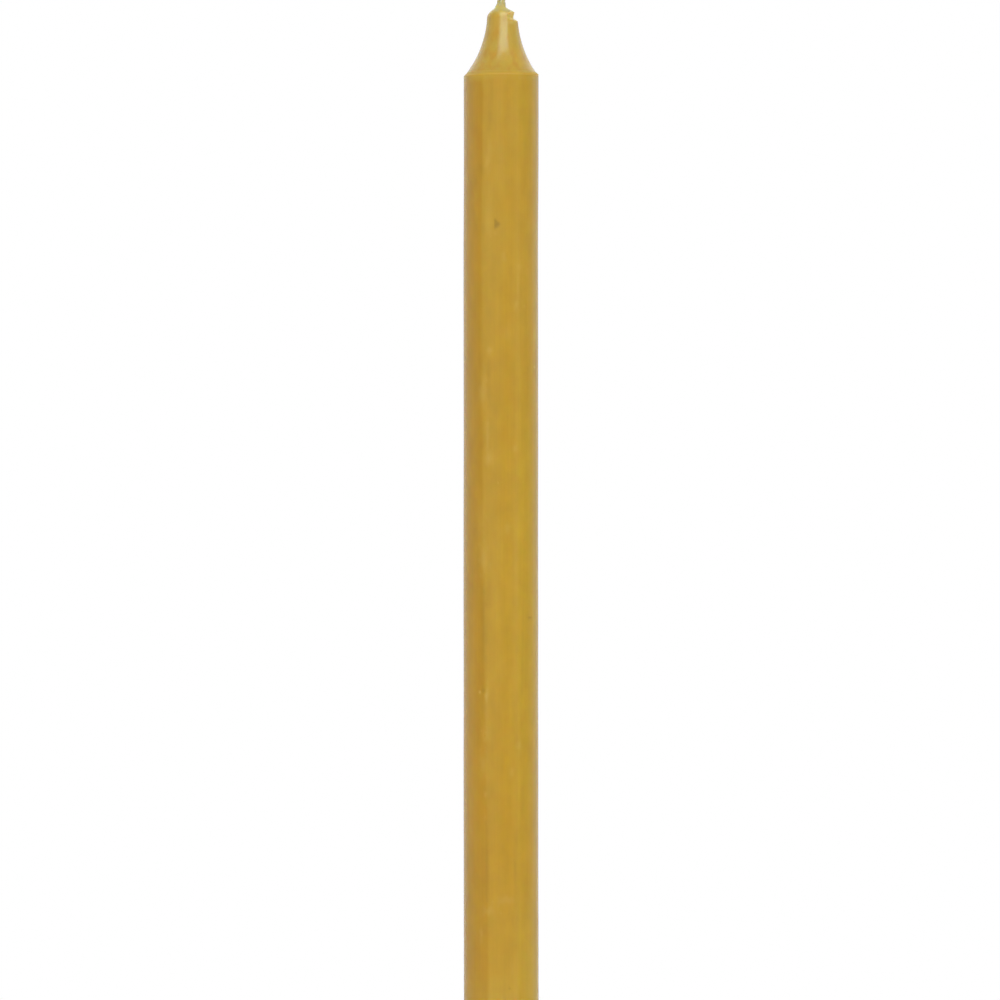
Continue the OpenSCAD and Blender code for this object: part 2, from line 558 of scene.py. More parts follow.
# The marks by kind, on the neck above 279 mm and on the shaft below: height, bearing, half width,
# half length and strength
MARK_ROWS: Mapping[Mark, Sequence[tuple[float, float, float, float, float]]] = {
    Mark.DENT_WITH_PAINTED_SHADE: (
        (234.5, -7.2, 1.15, 1.65, 1.0),
        (112.0, 174.0, 0.9, 1.2, 0.5),
    ),
    Mark.NICK: (
        (190.0, 151.0, 0.7, 0.9, 1.0),
        (119.3, 51.0, 0.95, 0.35, 1.3),
        (97.8, -28.0, 0.8, 0.5, 0.9),
        (52.0, 96.0, 0.5, 1.6, 0.8),
        (45.0, 22.2, 0.4, 6.0, 0.6),
        (31.0, 17.5, 0.35, 1.6, 0.4),
        (10.7, 13.1, 0.38, 0.38, 1.3),
    ),
    Mark.STAIN: (
        (290.0, -57.0, 2.4, 3.0, 0.25),
        (287.5, 63.0, 2.4, 3.2, 0.3),
        (283.8, -38.0, 2.7, 1.7, 0.18),
        (272.8, -14.5, 0.6, 4.2, 0.34),
        (265.6, -17.2, 0.8, 3.2, 0.4),
        (250.6, -48.0, 0.4, 0.5, 0.3),
        (225.4, 9.0, 0.45, 0.6, 0.3),
        (208.6, -18.0, 1.1, 4.4, 0.28),
        (191.4, -18.6, 0.8, 2.6, 0.38),
        (181.5, -9.5, 1.3, 3.4, 0.26),
        (156.5, -15.0, 1.1, 9.0, 0.16),
        (115.0, -27.0, 0.8, 17.0, 0.55),
        (111.0, 8.0, 1.5, 5.5, 0.16),
        (84.8, -24.9, 0.4, 0.6, 0.9),
        (47.0, -22.5, 0.6, 14.0, 0.75),
    ),
    Mark.SCUFF_AND_SHEEN: (
        # Painted reflection: the next two pale rows stand for the bright sheen on the lower right of the
        # neck.
        (284.5, 30.0, 2.6, 1.7, 0.65),
        (281.9, 42.0, 2.4, 2.1, 0.75),
        # Painted light: a pale band on the left of the shoulder's edge, where the upturned corner catches
        # more light.
        (279.2, -21.0, 3.0, 0.6, 0.45),
        (256.8, -18.2, 0.75, 3.2, 0.5),
        (252.8, -21.6, 0.85, 2.6, 0.75),
        (240.0, 118.0, 0.8, 1.4, 0.8),
        (236.0, -20.0, 1.3, 6.0, 0.42),
        (231.8, -9.0, 0.8, 0.7, 0.3),
        (225.0, 5.5, 0.8, 1.8, 0.45),
        (222.0, 29.5, 0.8, 1.5, 0.42),
        (216.5, 27.0, 0.38, 5.0, 0.42),
        (210.9, 24.2, 0.9, 1.2, 0.62),
        (210.6, 39.0, 0.5, 0.5, 0.35),
        (204.0, -168.0, 0.6, 5.0, 0.5),
        (202.5, 9.0, 1.3, 2.4, 0.32),
        (197.6, -17.9, 0.85, 1.2, 0.8),
        (192.8, 63.6, 0.35, 0.35, 1.6),
        (189.0, -25.5, 0.55, 3.5, 0.48),
        (185.2, -29.5, 1.25, 3.8, 0.85),
        (172.3, -20.8, 0.5, 6.5, 0.75),
        (168.8, 22.0, 0.85, 1.2, 0.6),
        (166.0, -18.0, 1.3, 2.0, 0.8),
        (158.8, -4.3, 0.28, 0.4, 0.9),
        (147.0, -32.5, 1.5, 7.5, 0.45),
        (145.5, 10.3, 0.8, 1.7, 0.52),
        (141.0, -146.0, 0.8, 2.8, 0.7),
        (135.8, -27.5, 1.35, 4.8, 0.85),
        (133.0, 24.0, 0.8, 9.0, 0.24),
        (119.9, 51.0, 0.8, 0.3, 0.6),
        (104.5, 5.0, 2.5, 4.5, 0.16),
        (97.5, -33.8, 0.5, 0.5, 1.9),
        (96.5, -22.5, 0.65, 2.0, 1.2),
        (91.0, -24.5, 1.1, 4.2, 0.4),
        (88.0, -101.0, 0.6, 1.0, 0.8),
        (84.8, -24.9, 1.1, 1.6, 0.75),
        (82.0, 28.8, 0.9, 1.7, 0.65),
        (76.4, -28.0, 1.2, 3.4, 0.62),
        (74.3, 17.1, 0.7, 1.7, 0.55),
        (67.3, -24.0, 0.4, 1.0, 0.8),
        (60.8, -24.4, 0.45, 0.8, 0.5),
        (36.6, 9.0, 3.1, 1.3, 0.62),
        (33.4, -20.5, 2.1, 1.6, 0.7),
        (26.6, -31.5, 0.65, 1.8, 0.6),
        (16.3, 17.1, 0.55, 2.0, 0.35),
    ),
}
MARKS = tuple(Blemish(kind, *row) for kind, rows in MARK_ROWS.items() for row in rows)


@dataclass(frozen=True)
class Ridge:
    """A faint drag line that runs down the shaft, with an evenly toned side to its left: painted shade on the
    front-left line, a painted highlight on the front-right line.
    """

    bearing_top: float
    bearing_foot: float
    height: float
    left_width: float
    right_width: float
    tone: float
    tone_span: float

    @lru_cache(maxsize=None)
    def _crest(self, level: float) -> float:
        """Bearing of the line, in degrees, at a share of the shaft's height."""
        wander = 2.2 * noise.noise(Vector((level * 16.0, self.bearing_top, 0.0)))
        wander += 0.8 * noise.noise(Vector((level * 60.0, self.bearing_top, 5.0)))
        return self.bearing_foot + (self.bearing_top - self.bearing_foot) * smooth(0.05, 0.72, level) + wander

    def _turn(self, bearing: float, level: float) -> float:
        """Angle from the line to a bearing, in degrees, at a share of the shaft's height."""
        return (bearing - self._crest(level) + 180.0) % 360.0 - 180.0

    def rise(self, bearing: float, level: float, radius: float) -> float:
        """Height of the line above the shaft.

        Args:
            bearing: Angle to the right of the front, in degrees.
            level: Share of the shaft's height, from 0 at the base to 1 at the shoulder.
            radius: Radius of the shaft.

        Returns:
            The rise, in metres.
        """
        across = math.radians(self._turn(bearing, level)) * radius
        width = self.left_width if across < 0.0 else self.right_width
        return self.height * math.exp(-abs(across) / width) if abs(across) < 6.0 * width else 0.0

    def tone_and_shade_at(self, bearing: float, level: float) -> float:
        """Tone that the line's left side has at one place: painted shade on the front-left line, a painted
        highlight on the front-right line.
        """
        turn = self._turn(bearing, level)
        return self.tone * window((-self.tone_span - 14.0, -self.tone_span, -4.0, 1.5), turn)


SHAFT_RIDGES: tuple[Ridge, ...] = (
    # Painted shade: the first line's wide dark band stands for the shade on the shaft's left side.
    Ridge(-29.5, -19.8, 0.06 * MM, 1.5 * MM, 2.5 * MM, -1.0, 62.0),
    # Painted highlight: the second line's narrow pale band stands for light caught by the drag line.
    Ridge(31.5, 31.0, 0.025 * MM, 0.6 * MM, 0.6 * MM, 0.28, 3.5),
    Ridge(-120.0, -112.0, 0.03 * MM, 0.6 * MM, 1.2 * MM, -0.4, 20.0),
    Ridge(146.0, 150.0, 0.06 * MM, 2.5 * MM, 1.2 * MM, -0.8, 26.0),
    Ridge(-150.0, -158.0, 0.04 * MM, 0.7 * MM, 0.9 * MM, 0.4, 12.0),
)


@lru_cache(maxsize=None)
def marks_near(height: float) -> tuple[Blemish, ...]:
    """The marks that reach up or down to a height."""
    return tuple(m for m in MARKS if abs(height / MM - m.height) < 2.2 * m.length)


# Tone of the shaft at some heights: it is a little deeper above the foot and pale at the foot.
SHAFT_TONES: tuple[Pair, ...] = (
    (0.0, 0.75),
    (6 * MM, 0.65),
    (11 * MM, 0.35),
    (16 * MM, 0.05),
    (25 * MM, -0.25),
    (48 * MM, -0.50),
    (78 * MM, -0.20),
    (100 * MM, 0.0),
)

# Sideways place of the candle's centre line at some heights: the shaft is a little bowed and
# the nib is milled off centre, while the wick comes out nearly in line with the shaft.
CENTRE_LINE: tuple[Pair, ...] = (
    (0.0, 0.10 * MM),
    (60 * MM, 0.0),
    (145 * MM, -0.07 * MM),
    (172 * MM, 0.0),
    (228 * MM, -0.06 * MM),
    (249 * MM, 0.02 * MM),
    (270 * MM, 0.03 * MM),
    (277 * MM, 0.04 * MM),
    (279.5 * MM, 0.03 * MM),
    (281 * MM, 0.07 * MM),
    (283 * MM, 0.21 * MM),
    (285 * MM, 0.29 * MM),
    (294 * MM, 0.40 * MM),
    (296.5 * MM, 0.38 * MM),
    (300 * MM, 0.08 * MM),
)


def centre_shift(height: float) -> float:
    """Sideways place of the candle's centre line at a height."""
    return between(CENTRE_LINE, height)


@dataclass(frozen=True)
class Spot:
    """A soft spot on the nib: its strength, its bearing and spreads in degrees, and its height.

    The drop is how far its middle lies below the height that it is measured from.
    """

    strength: float
    bearing: float
    left_spread: float
    right_spread: float
    drop: float
    half_height: float

    def at(self, bearing: float, rise: float) -> float:
        """Strength at a bearing in degrees and a rise above the height that the spot goes by."""
        spread = self.right_spread if bearing > self.bearing else self.left_spread
        return self.strength * bell(bearing - self.bearing, spread) * bell(rise + self.drop, self.half_height)


@dataclass
class PlaitedWick:
    """The wick: three strands of waxed yarns, plaited flat, and a round run inside the wax."""

    wax_h: float
    tip_z: float
    wick_r: float = 1.2 * MM
    strand_r: float = 0.6 * MM
    strand_step: float = 0.3 * MM
    pitch: float = 4.6 * MM
    root: float = 1.8 * MM
    lean: float = 0.35 * MM
    run_below: float = 3.1 * MM
    strands: int = 3
    yarns: int = 4
    yarn_r: float = 0.30 * MM
    yarn_turn: float = 7.0 * MM
    yarn_wobble: float = 0.02 * MM
    yarn_sides: int = 10
    ring_step: float = 0.14 * MM
    root_share: float = 0.86
    fibres: int = 36
    fibre_r: float = 0.022 * MM
    fibre_sides: int = 5
    run_sides: int = 48
    run_cuts: int = 30

    def _strand_centre(self, strand: int, height: float) -> Vector:
        """Centre of a strand at a height above the wax."""
        turn = math.tau * (height / self.pitch + strand / self.strands)
        swing = self.wick_r - self.strand_r
        return Vector((swing * math.sin(turn), self.strand_step * math.sin(2.0 * turn), self.wax_h + height))

    def reach(self, angle: float, height: float) -> float:
        """Distance from the wick's axis to the outside of the plait, in one direction.

        Args:
            angle: Direction from +X towards +Y, in radians.
            height: Height above the wax.

        Returns:
            The distance, or a little less than a strand's radius between two strands.
        """
        found = 0.55 * self.strand_r
        for strand in range(self.strands):
            centre = self._strand_centre(strand, height)
            along = centre.x * math.cos(angle) + centre.y * math.sin(angle)
            across = centre.y * math.cos(angle) - centre.x * math.sin(angle)
            if abs(across) < self.strand_r:
                found = max(found, along + math.sqrt(self.strand_r**2 - across**2))
        return found

    def _yarn_centre(self, strand: int, yarn: int, height: float) -> Vector:
        """Centre of one yarn, which winds slowly round its strand."""
        turn = math.tau * (height / self.yarn_turn + yarn / self.yarns + strand * 0.13)
        off = self.strand_r - self.yarn_r
        wobble = self.yarn_wobble * noise.noise(Vector((height / (1.1 * MM), strand * 5.0, yarn * 3.0)))
        centre = self._strand_centre(strand, height)
        drawn_in = self.root_share + (1.0 - self.root_share) * smooth(-0.2 * MM, 0.5 * MM, height)
        centre.x = (centre.x + (off + wobble) * math.cos(turn)) * drawn_in
        centre.y = (centre.y + (off + wobble) * math.sin(turn)) * drawn_in
        return centre

    def _sweep(self, mesh: bmesh.types.BMesh, path: Sequence[Vector], radius: float, sides: int) -> None:
        """Draws a round end along a path by extruding it from point to point.

        Args:
            mesh: The mesh that receives the tube.
            path: Centres of the rings.
            radius: Radius of the tube.
            sides: Number of sides of the tube.
        """
        groove_shade = mesh.verts.layers.float["groove_shade"]
        frames = [ring_frame(path, i) for i in range(len(path))]
        made = bmesh.ops.create_circle(mesh, cap_ends=True, segments=sides, radius=radius, matrix=frames[0])
        end = made["verts"][0].link_faces[0]
        inside = []
        for before, after in zip(frames, frames[1:]):
            inside.append(end)
            grown = bmesh.ops.extrude_face_region(mesh, geom=[end])["geom"]
            end = next(item for item in grown if isinstance(item, bmesh.types.BMFace))
            bmesh.ops.transform(mesh, matrix=after @ before.inverted(), verts=list(end.verts))
            for vert in end.verts:
                axis_distance = math.hypot(vert.co.x, vert.co.y)
                vert[groove_shade] = 1.0 - smooth(0.55 * self.wick_r, 0.95 * self.wick_r, axis_distance)
        bmesh.ops.delete(mesh, geom=[face for face in inside[1:] if face.is_valid], context="FACES_ONLY")

    def _fray(self, mesh: bmesh.types.BMesh) -> None:
        """Adds a few loose fibres round the cut tip."""
        for fibre in range(self.fibres):
            strand, yarn = fibre % self.strands, fibre % self.yarns
            spin = Vector((math.sin(fibre * 2.4), math.cos(fibre * 2.4), 0.0))
            below = (0.5 + 0.9 * noise.noise(Vector((fibre * 1.7, 0.3, 0.0)))) * MM
            height = self.tip_z - self.wax_h - 0.45 * MM - max(0.0, below)
            root = self._yarn_centre(strand, yarn, height) + spin * (self.yarn_r * 0.8)
            out = 0.10 * MM + 0.16 * MM * (0.5 + 0.5 * math.sin(fibre * 5.1))
            rise = 0.30 * MM + 0.12 * MM * math.sin(fibre * 3.3)
            path = [root + spin * (out * t * t) + Vector((0.0, 0.0, rise * t)) for t in (0.0, 0.35, 0.7, 1.0)]
            self._sweep(mesh, path, self.fibre_r, self.fibre_sides)

    def build(self, finish: WickFinish) -> bpy.types.Object:
        """Makes the wick piece.

        Args:
            finish: The waxed cotton to dress it in.

        Returns:
            The finished object.
        """
        mesh = bmesh.new()
        mesh.verts.layers.float.new("groove_shade")
        free = self.tip_z - self.wax_h
        for strand in range(self.strands):
            for yarn in range(self.yarns):
                short = 0.09 * MM * ((strand * self.yarns + yarn) * 5 % 7)
                count = math.ceil((free - short + self.root) / self.ring_step)
                heights = [-self.root + (free - short + self.root) * i / count for i in range(count + 1)]
                path = [self._yarn_centre(strand, yarn, h) for h in heights]
                self._sweep(mesh, path, self.yarn_r, self.yarn_sides)
        self._fray(mesh)
        run_h = self.wax_h - self.run_below
        inner = bmesh.ops.create_cone(
            mesh,
            cap_ends=True,
            segments=self.run_sides,
            radius1=self.wick_r,
            radius2=self.wick_r,
            depth=run_h,
            matrix=Matrix.Translation((0.0, 0.0, run_h / 2.0)),
        )
        long_edges = {e for v in inner["verts"] for e in v.link_edges if e.calc_length() > run_h / 2.0}
        bmesh.ops.subdivide_edges(mesh, edges=list(long_edges), cuts=self.run_cuts)
        for vert in mesh.verts:
            height = max(0.0, vert.co.z - self.wax_h) / free
            vert.co.x += centre_shift(vert.co.z) + self.lean * height * height
            vert.co.y -= 0.6 * self.lean * height * height
            vert.co.z = min(vert.co.z, self.tip_z)
        bmesh.ops.recalc_face_normals(mesh, faces=mesh.faces)
        piece = finish_piece(mesh, "plaited_wick", finish.build())
        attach(piece, ROOT_BODY)
        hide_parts("wick")
        return piece


@dataclass
class WaxColumn:
    """The wax: base, shaft, shoulder, milled neck, chipped nib and crown in one skin."""

    wick: PlaitedWick
    shaft_r: float
    wax_h: float
    base_bevel: float = 0.6 * MM
    neck_curve_r: float = 31.2 * MM
    neck_top_lean: float = math.radians(3.5)
    shoulder_land: float = 0.3 * MM
    nib_r: float = 4.5 * MM
    rim_r: float = 2.5 * MM
    crown_lean: float = math.radians(46.0)
    fillet_r: float = 1.2 * MM
    fillet_lip: float = 0.15 * MM
    bore_r: float = 1.25 * MM
    chip_depth: float = 1.3 * MM
    chip_span: float = math.radians(142.0)
    chip_face_h: float = 0.55 * MM
    chip_lip_lean: float = math.radians(19.0)
    chip_drop: float = 2.4 * MM
    chip_bite: float = 0.32 * MM
    chip_bite_bearings: Window = (17.0, 25.0, 45.0, 85.0)
    # Width of the painted highlight along the break's edge.
    chip_highlight_width: float = 0.15 * MM
    chip_grain: float = 0.06 * MM
    chip_grain_layers: tuple[Pair, ...] = ((1.5 * MM, 2.0), (0.6 * MM, 1.0), (0.28 * MM, 0.5))
    floor_curl: float = 0.35 * MM
    shoulder_tilt: float = 0.25 * MM
    shoulder_tilt_rise: Window = (-9.0 * MM, 0.0, 0.0, 7.0 * MM)
    foot_lip: float = 0.25 * MM
    foot_lip_h: float = 0.8 * MM
    crown_hollow: float = 0.34 * MM
    crown_hollow_right: float = 0.52 * MM
    crown_hollow_drop: float = 1.3 * MM
    crown_hollow_below: float = 0.90 * MM
    crown_hollow_above: float = 1.05 * MM
    collar_share: float = 0.9
    collar_groove: float = 0.16 * MM
    swell: Spot = Spot(0.26 * MM, 5.0, 42.0, 42.0, -0.2 * MM, 0.5 * MM)
    # Painted highlight: a pale spot on the front of the rim, where the softbox's highlight runs up onto the
    # rim.
    rim_highlight: Spot = Spot(0.22, 3.0, 36.0, 21.0, 0.38 * MM, 0.55 * MM)
    bruise: Spot = Spot(0.38, 36.0, 13.0, 13.0, 1.38 * MM, 0.5 * MM)
    cap_dip_right: float = 0.6 * MM
    cap_rise_left: float = 0.9 * MM
    deep_neck: float = -0.30
    deep_neck_bearings: Window = (-62.0, -44.0, -18.0, 0.0)
    green_neck_bearings: Window = (18.0, 28.0, 62.0, 78.0)
    green_shaft_bearings: Window = (23.0, 31.0, 55.0, 75.0)
    film_h: float = 2.2 * MM
    film_thick: float = 0.05 * MM
    film_dip: float = 0.30 * MM
    film_fade: float = 0.3 * MM
    film_close_h: float = 1.5 * MM
    film_steps: int = 18
    shaft_ring_step: float = 1.15 * MM
    mark_ring_step: float = 0.45 * MM
    head_ring_step: float = 0.3 * MM
    nib_ring_step: float = 0.12 * MM
    base_ring_step: float = 0.8 * MM
    bore_ring_step: float = 60.0 * MM
    corner_steps: int = 4
    fillet_steps: int = 8
    front_from: float = math.radians(-144.0)
    front_span: float = math.radians(168.0)
    front_steps: int = 124
    back_steps: int = 60
    fillet_foot: Pair = field(init=False)
    rim_top_z: float = field(init=False)
    rim_z: float = field(init=False)
    neck_centre: Pair = field(init=False)
    shoulder_lean: float = field(init=False)
    shoulder_z: float = field(init=False)
    chip_axis_off: float = field(init=False)
    chip_wall_r: float = field(init=False)

    def __post_init__(self) -> None:
        """Works the head out from the wick downwards, as the solid model does."""
        lean, crown = self.neck_top_lean, self.crown_lean
        self.fillet_foot = (
            self.bore_r + self.fillet_lip + self.fillet_r * (1.0 - math.cos(crown)),
            self.wax_h - self.fillet_r * math.sin(crown),
        )
        rim_top_r = self.nib_r - self.rim_r * (math.cos(lean) - math.cos(crown))
        self.rim_top_z = self.fillet_foot[1] - (rim_top_r - self.fillet_foot[0]) / math.tan(crown)
        self.rim_z = self.rim_top_z - self.rim_r * (math.sin(crown) - math.sin(lean))
        self.neck_centre = (
            self.nib_r + self.neck_curve_r * math.cos(lean),
            self.rim_z + self.neck_curve_r * math.sin(lean),
        )
        shoulder_r = self.shaft_r - self.shoulder_land
        self.shoulder_lean = math.acos((self.neck_centre[0] - shoulder_r) / self.neck_curve_r)
        self.shoulder_z = self.neck_centre[1] - self.neck_curve_r * math.sin(self.shoulder_lean)
        wall_x = self.nib_r - self.chip_depth
        end_x = self.nib_r * math.cos(self.chip_span / 2.0)
        self.chip_axis_off = (self.nib_r**2 - wall_x**2) / (2.0 * (wall_x - end_x))
        self.chip_wall_r = wall_x + self.chip_axis_off

    def outline(self) -> list[Pair]:
        """Half section, from the middle of the film on the wick down the outside and up the bore."""
        base_in, base_out = (self.bore_r, 0.0), (self.shaft_r - self.base_bevel, 0.0)
        bore_top = (self.bore_r, self.wax_h - self.wick.run_below + 0.1 * MM)
        film = [self._film_point(self.film_h * i / self.film_steps) for i in range(1, self.film_steps + 1)]
        film_top = film[-1][1]
        upward = [base_out, *self._shaft_side(), *self._head_side(), *film]
        upward += [(0.5 * self.bore_r, film_top), (0.0, film_top)]
        return [
            *upward[::-1],
            *stretch(base_out, base_in, self.base_ring_step),
            base_in,
            *stretch(base_in, bore_top, self.bore_ring_step),
            bore_top,
            (0.0, bore_top[1]),
        ]

    def _shaft_side(self) -> list[Pair]:
        """Upright side of the shaft, from the base bevel to just before the top of the shoulder's corner."""
        corner_r = (self.shoulder_land - self.foot_lip) / (1.0 - math.cos(self.shoulder_lean))
        corner_z = self.shoulder_z - corner_r * math.sin(self.shoulder_lean)
        edge = corner_z - corner_r
        corner_centre = (self.shaft_r - corner_r, corner_z)
        corner = arc(corner_centre, corner_r, 0.0, self.shoulder_lean, self.corner_steps)
        heights = [self.base_bevel, *self._shaft_heights(self.base_bevel, edge), edge]
        return [*[(self.shaft_r, z) for z in heights], *corner[:-1]]

    def _head_side(self) -> list[Pair]:
        """Milled side of the head, from the lip at the neck's foot to the top of the fillet."""
        lean, crown = self.neck_top_lean, self.crown_lean
        lip_top = self.shoulder_z + self.foot_lip_h
        neck_steps = math.ceil(self.neck_curve_r * (self.shoulder_lean - lean) / self.head_ring_step)
        turns = (math.pi + self.shoulder_lean, math.pi + lean)
        neck = arc(self.neck_centre, self.neck_curve_r, *turns, neck_steps)
        neck = [(r + self.foot_lip * smooth(lip_top, self.shoulder_z, z), z) for r, z in neck]
        rim_centre = (self.nib_r - self.rim_r * math.cos(lean), self.rim_z - self.rim_r * math.sin(lean))
        rim_steps = math.ceil(self.rim_r * (crown - lean) / self.nib_ring_step)
        rim = arc(rim_centre, self.rim_r, lean, crown, rim_steps)
        fillet_centre = (self.bore_r + self.fillet_lip + self.fillet_r, self.wax_h)
        fillet = arc(fillet_centre, self.fillet_r, math.pi + crown, math.pi, self.fillet_steps)
        return [*neck, *rim[1:], *stretch(rim[-1], fillet[0], self.nib_ring_step), *fillet]

    def _shaft_heights(self, foot: float, edge: float) -> list[float]:
        """Heights of the rings on the shaft, closer together at the small marks."""
        close = self.mark_ring_step
        heights = [z for _, z in stretch((0.0, foot), (0.0, edge), self.shaft_ring_step)]
        for mark in MARKS:
            if mark.length < 2.0 or mark.kind is Mark.DENT_WITH_PAINTED_SHADE:
                reach = math.ceil(mark.length * MM / close)
                heights += [mark.height * MM + close * i for i in range(-reach, reach + 1)]
        rings: list[float] = []
        for height in sorted(heights):
            inside = foot + 0.3 * close < height < edge - 0.3 * close
            if inside and (not rings or height - rings[-1] > 0.7 * close):
                rings.append(height)
        return rings

    def _film_r(self, height: float) -> float:
        """Radius of the wax film that climbs the wick, where it is still round."""
        foot = self.bore_r + self.fillet_lip - self.wick.wick_r
        more = (foot - self.film_thick) * math.exp(-height / self.film_fade)
        return self.wick.wick_r + self.film_thick + more

    def _film_point(self, height: float) -> Pair:
        """Place of the wax film in the half section, at a height above the wax."""
        return self._film_r(height), self.wax_h + height

    def _skin(self) -> bmesh.types.BMesh:
        """Spins the half section into a closed skin."""
        skin = bmesh.new()
        points = [skin.verts.new((r, 0.0, z)) for r, z in self.outline()]
        edges = [skin.edges.new(pair) for pair in zip(points, points[1:])]
        start = Matrix.Rotation(self.front_from, 3, "Z")
        bmesh.ops.rotate(skin, verts=points, cent=(0.0, 0.0, 0.0), matrix=start)
        profile = points + edges
        back_span = math.tau - self.front_span
        for angle, steps in ((self.front_span, self.front_steps), (back_span, self.back_steps)):
            profile = bmesh.ops.spin(
                skin,
                geom=profile,
                cent=(0.0, 0.0, 0.0),
                axis=(0.0, 0.0, 1.0),
                angle=angle,
                steps=steps,
                use_merge=False,
            )["geom_last"]
        bmesh.ops.remove_doubles(skin, verts=skin.verts, dist=0.002 * MM)
        bmesh.ops.recalc_face_normals(skin, faces=skin.faces)
        return skin

    def _chip_limit(self, angle: float, bearing: float, height: float) -> float:
        """Distance from the axis to the broken face, along one direction.

        Args:
            angle: Direction from +X towards +Y, in radians.
            bearing: The same direction as an angle to the right of the front, in degrees.
            height: Height of the point.

        Returns:
            The distance, which is more than the wax has where nothing is broken.
        """
        wall = self.chip_wall_r
        face_top = self.rim_z + self.chip_face_h
        if height > face_top:
            wall += (height - face_top) * math.tan(self.chip_lip_lean)
        elif height < self.rim_z:
            wall += self.floor_curl * ((self.rim_z - height) / self.floor_curl) ** 1.4
        side = self.chip_axis_off * math.sin(angle)
        bite = self.chip_bite * window(self.chip_bite_bearings, bearing)
        return math.sqrt(wall * wall - side * side) - self.chip_axis_off * math.cos(angle) - bite

    def _cap_dip(self, bearing: float) -> float:
        """How far the worn edge of the rim sinks towards the chip, at a bearing in degrees."""
        sunk = self.cap_dip_right * smooth(6.0, 24.0, bearing)
        return sunk - self.cap_rise_left * smooth(-6.0, -28.0, bearing)

    def _hollow(self, right: float, height: float) -> float:
        """How far the crown and the film are hollowed: more on the right, with a collar on the left.

        Args:
            right: Share of the direction that points to +X.
            height: Height of the point.

        Returns:
            The depth of the hollow.
        """
        above = height - self.wax_h + self.crown_hollow_drop
        width = self.crown_hollow_above if above > 0.0 else self.crown_hollow_below
        depth = (self.crown_hollow + self.crown_hollow_right * max(0.0, right) ** 1.5) * bell(above, width)
        collar = depth * (1.0 - self.collar_share * smooth(-0.25 * MM, 0.55 * MM, above))
        collar += self.collar_groove * smooth(0.98 * MM, 1.18 * MM, above)
        return depth + (collar - depth) * smooth(-0.15, -0.70, right)

    def _film_share(self, angle: float) -> float:
        """How far the wax film climbs the wick in one direction, as a share of its full height."""
        place = Vector((1.1 * math.cos(angle), 1.1 * math.sin(angle), 4.0))
        return 0.70 + 0.22 * noise.noise(place) + 0.07 * noise.noise(place * 3.1)

    def _film_reach(self, angle: float, height: float, level: float) -> float:
        """Distance to the wax film on the wick, round at its foot and drawn onto the strands above.

        Args:
            angle: Direction from +X towards +Y, in radians.
            height: Height above the wax.
            level: Share of the film's height in this direction.

        Returns:
            The distance, which is inside the strands where the film ends.
        """
        hollow = self._hollow(math.cos(angle), self.wax_h + height)
        round_r = max(self._film_r(height) - hollow, self.wick.wick_r + 0.5 * self.film_thick)
        cover = self.film_thick - (self.film_thick + self.film_dip) * smooth(0.80, 1.0, level)
        strands = max(self.wick.reach(angle, height), 0.78 * self.wick.wick_r) + cover
        return round_r + (strands - round_r) * smooth(0.1 * MM, 0.9 * MM, height)

    def _relief(self, point: Vector, bearing: float, height: float) -> float:
        """Unevenness of the drawn and handled wax surface.

        Args:
            point: Place on the smooth skin.
            bearing: Angle to the right of the front, in degrees.
            height: Height of the point.

        Returns:
            Distance outwards, in metres.
        """
        on_shaft = smooth(self.shoulder_z + 0.2 * MM, self.shoulder_z - 2.0 * MM, height)
        level = height / self.shoulder_z
        x, y, z = point / MM
        ripple = noise.noise(Vector((x / 7.0, y / 7.0, z / 30.0)))
        drag = noise.noise(Vector((x / 1.5, y / 1.5, z / 55.0 + 9.0)))
        quiver = noise.noise(Vector((x / 2.6, y / 2.6, z / 4.5 + 20.0)))
        uneven = (0.060 * ripple + 0.010 * drag + 0.008 * quiver) * MM
        lines = sum(r.rise(bearing, level, self.shaft_r) for r in SHAFT_RIDGES) if on_shaft > 0.0 else 0.0
        return (0.25 + 0.75 * on_shaft) * uneven + on_shaft * lines

    def _worn_reach(self, point: Vector, bearing: float, radius: float) -> float:
        """Distance from the axis to the drawn, marked and milled surface.

        Args:
            point: Place on the smooth skin.
            bearing: Angle to the right of the front, in degrees.
            radius: Distance of the smooth skin from the axis.

        Returns:
            The distance.
        """
        reach = radius + self._relief(point, bearing, point.z) * smooth(self.bore_r, self.nib_r, radius)
        if point.z < self.rim_z:
            reach -= sum(m.kind.depth * m.share(bearing, point.z) for m in marks_near(point.z))
        reach += self.swell.at(bearing, point.z - self.rim_top_z + max(0.0, self._cap_dip(bearing)))
        hollow = self._hollow(point.x / radius, point.z)
        return max(reach - hollow, min(radius, self.wick.wick_r + self.film_thick))

    def _tone_and_shade(self, bearing: float, height: float) -> float:
        """Tone of the shaft at one place, with the painted shade and highlight of the front drag lines: below
        0 is deeper and above 0 is paler.
        """
        above = height - self.shoulder_z
        if above > 0.0:
            share = window(self.deep_neck_bearings, bearing)
            return self.deep_neck * share * smooth(8.0 * MM, 12.0 * MM, above)
        level = height / self.shoulder_z
        lines = sum(ridge.tone_and_shade_at(bearing, level) for ridge in SHAFT_RIDGES)
        return smooth(-0.5 * MM, -3.0 * MM, above) * (between(SHAFT_TONES, height) + lines)

    def _cast(self, bearing: float, height: float) -> float:
        """Share of the greener wax on the right of the front, on the shaft and on the upper neck."""
        if height > self.shoulder_z:
            foot, rim = self.shoulder_z + 6.5 * MM, self.rim_z
            share = window((foot, foot + 2.5 * MM, rim - 0.5 * MM, rim + 1.0 * MM), height)
            return share * window(self.green_neck_bearings, bearing)
        share = smooth(215 * MM, 150 * MM, height) + 0.7 * smooth(240 * MM, 268 * MM, height)
        return share * window(self.green_shaft_bearings, bearing)

